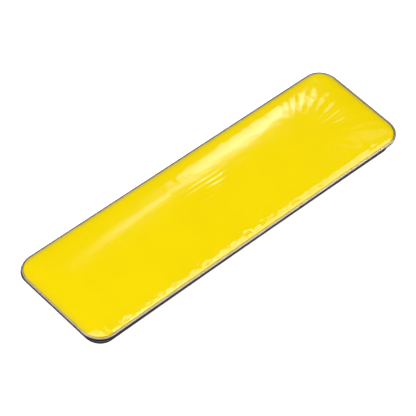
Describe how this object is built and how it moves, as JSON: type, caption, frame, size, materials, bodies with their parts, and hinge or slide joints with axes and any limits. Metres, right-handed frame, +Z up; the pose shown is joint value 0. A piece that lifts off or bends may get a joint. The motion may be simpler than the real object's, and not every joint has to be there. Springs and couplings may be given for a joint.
{
  "type": "squeegee applicator",
  "caption": "Long flat hand tool with a crowned, film-covered foam pad in a shallow metal tray, for pressing and smoothing adhesive vinyl.",
  "frame": {"origin": "on the surface that the tool lies on, under the middle of the tool", "axes": "+X along the tool's length, +Y across it, +Z up through the crowned pad"},
  "size_m": [0.25, 0.07, 0.0076],
  "materials": {
    "grip_rubber": "matt ribbed rubber",
    "black_base": "semi-gloss moulded plastic",
    "tray_metal": "dark anodised, satin",
    "frame_metal": "satin, bare metal",
    "clear_tape": "double-sided adhesive tape",
    "grey_board": "hard pressed fibreboard",
    "white_foam": "closed-cell foam",
    "yellow_film": "glossy stretched slip film, lightly wrinkled at one end",
    "rivet_metal": "plain flat-head rivet"
  },
  "bodies": {
    "root": {"grip_sheet": "grip_rubber", "base_plate": "black_base", "tray_pan": "tray_metal", "retaining_frame": "frame_metal", "pad_tape": "clear_tape", "pad_board": "grey_board", "foam_pad": "white_foam", "film_cover": "yellow_film", "rivet_1": "rivet_metal", "rivet_2": "rivet_metal", "rivet_3": "rivet_metal", "rivet_4": "rivet_metal", "rivet_5": "rivet_metal", "rivet_6": "rivet_metal"}
  },
  "joints": []
}
